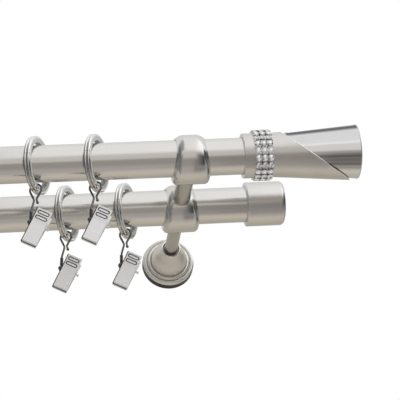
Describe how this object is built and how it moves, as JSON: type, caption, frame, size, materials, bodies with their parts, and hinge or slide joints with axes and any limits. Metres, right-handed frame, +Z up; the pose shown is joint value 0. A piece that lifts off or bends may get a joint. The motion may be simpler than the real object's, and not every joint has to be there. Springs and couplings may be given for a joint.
{
  "type": "double curtain pole",
  "caption": "Two satin metal tubes on double wall brackets, with flared finials banded in crystals, plain end caps and sliding rings with spring clips.",
  "frame": {"origin": "on the wall face, midway between the two brackets, at the height of the tubes", "axes": "+X along the tubes to the right, +Y into the wall, +Z up"},
  "size_m": [1.3016, 0.1806, 0.0809],
  "materials": {
    "tube_satin": "satin",
    "satin_nickel": "satin",
    "polished_steel": "polished",
    "setting_steel": "polished",
    "crystal": "faceted",
    "black_plastic": "gloss",
    "zinc_steel": "zinc plated",
    "screw_steel": "dark plated",
    "ring_metal": "satin",
    "liner_plastic": "matte",
    "wire_steel": "dark plated",
    "clip_steel": "nickel plated"
  },
  "bodies": {
    "tubes_and_brackets": {"front_pole": "tube_satin", "back_pole": "tube_satin", "front_holder_right": "satin_nickel", "back_holder_right": "satin_nickel", "front_arm_right": "satin_nickel", "back_arm_right": "satin_nickel", "end_cap_right": "satin_nickel", "wall_rose_right": "satin_nickel", "finial_sleeve_right": "satin_nickel", "finial_cone_right": "polished_steel", "crystal_setting_right": "setting_steel", "crystals_right": "crystal", "backing_ring_right": "black_plastic", "wall_plate_right": "zinc_steel", "holder_screws_right": "screw_steel", "end_screws_right": "screw_steel", "front_holder_left": "satin_nickel", "back_holder_left": "satin_nickel", "front_arm_left": "satin_nickel", "back_arm_left": "satin_nickel", "end_cap_left": "satin_nickel", "wall_rose_left": "satin_nickel", "finial_sleeve_left": "satin_nickel", "finial_cone_left": "polished_steel", "crystal_setting_left": "setting_steel", "crystals_left": "crystal", "backing_ring_left": "black_plastic", "wall_plate_left": "zinc_steel", "holder_screws_left": "screw_steel", "end_screws_left": "screw_steel"},
    "ring_1": {"ring_shell_1": "ring_metal", "ring_liner_1": "liner_plastic"},
    "clip_1": {"hook_1": "wire_steel", "clip_back_1": "clip_steel", "clip_pin_1": "wire_steel", "clip_spring_1": "wire_steel"},
    "jaw_1": {"clip_front_1": "clip_steel"},
    "ring_2": {"ring_shell_2": "ring_metal", "ring_liner_2": "liner_plastic"},
    "clip_2": {"hook_2": "wire_steel", "clip_back_2": "clip_steel", "clip_pin_2": "wire_steel", "clip_spring_2": "wire_steel"},
    "jaw_2": {"clip_front_2": "clip_steel"},
    "ring_3": {"ring_shell_3": "ring_metal", "ring_liner_3": "liner_plastic"},
    "clip_3": {"hook_3": "wire_steel", "clip_back_3": "clip_steel", "clip_pin_3": "wire_steel", "clip_spring_3": "wire_steel"},
    "jaw_3": {"clip_front_3": "clip_steel"},
    "ring_4": {"ring_shell_4": "ring_metal", "ring_liner_4": "liner_plastic"},
    "clip_4": {"hook_4": "wire_steel", "clip_back_4": "clip_steel", "clip_pin_4": "wire_steel", "clip_spring_4": "wire_steel"},
    "jaw_4": {"clip_front_4": "clip_steel"}
  },
  "joints": [
    {"name": "ring_1_slide", "type": "slide", "parent": "tubes_and_brackets", "child": "ring_1", "axis": [1, 0, 0], "range_m": [-0.9466, 0.004]},
    {"name": "clip_1_swing", "type": "hinge", "parent": "ring_1", "child": "clip_1", "pos_m": [0.43153, -0.16099, -0.01888], "axis": [0.4067, 0.9135, 0], "range_deg": [-50, 30]},
    {"name": "jaw_1_open", "type": "hinge", "parent": "clip_1", "child": "jaw_1", "pos_m": [0.43143, -0.16099, -0.04578], "axis": [-0.8746, 0, 0.4848], "range_deg": [0, 25], "stiffness_Nm_per_rad": 0.005, "springref_deg": -34.38, "deforming": ["clip_spring_1"]},
    {"name": "ring_2_slide", "type": "slide", "parent": "tubes_and_brackets", "child": "ring_2", "axis": [1, 0, 0], "range_m": [-0.004, 0.0393]},
    {"name": "clip_2_swing", "type": "hinge", "parent": "ring_2", "child": "clip_2", "pos_m": [0.47113, -0.16099, -0.01888], "axis": [0.4067, 0.9135, 0], "range_deg": [-50, 30]},
    {"name": "jaw_2_open", "type": "hinge", "parent": "clip_2", "child": "jaw_2", "pos_m": [0.47103, -0.16099, -0.04578], "axis": [-0.8746, 0, 0.4848], "range_deg": [0, 25], "stiffness_Nm_per_rad": 0.005, "springref_deg": -34.38, "deforming": ["clip_spring_2"]},
    {"name": "ring_3_slide", "type": "slide", "parent": "tubes_and_brackets", "child": "ring_3", "axis": [1, 0, 0], "range_m": [-0.97, 0.004]},
    {"name": "clip_3_swing", "type": "hinge", "parent": "ring_3", "child": "clip_3", "pos_m": [0.45493, -0.09099, -0.01888], "axis": [0.4067, 0.9135, 0], "range_deg": [-50, 30]},
    {"name": "jaw_3_open", "type": "hinge", "parent": "clip_3", "child": "jaw_3", "pos_m": [0.45483, -0.09099, -0.04578], "axis": [-0.8746, 0, 0.4848], "range_deg": [0, 25], "stiffness_Nm_per_rad": 0.005, "springref_deg": -34.38, "deforming": ["clip_spring_3"]},
    {"name": "ring_4_slide", "type": "slide", "parent": "tubes_and_brackets", "child": "ring_4", "axis": [1, 0, 0], "range_m": [-0.004, 0.0141]},
    {"name": "clip_4_swing", "type": "hinge", "parent": "ring_4", "child": "clip_4", "pos_m": [0.49633, -0.09099, -0.01888], "axis": [0.4067, 0.9135, 0], "range_deg": [-50, 30]},
    {"name": "jaw_4_open", "type": "hinge", "parent": "clip_4", "child": "jaw_4", "pos_m": [0.49623, -0.09099, -0.04578], "axis": [-0.8746, 0, 0.4848], "range_deg": [0, 25], "stiffness_Nm_per_rad": 0.005, "springref_deg": -34.38, "deforming": ["clip_spring_4"]}
  ]
}
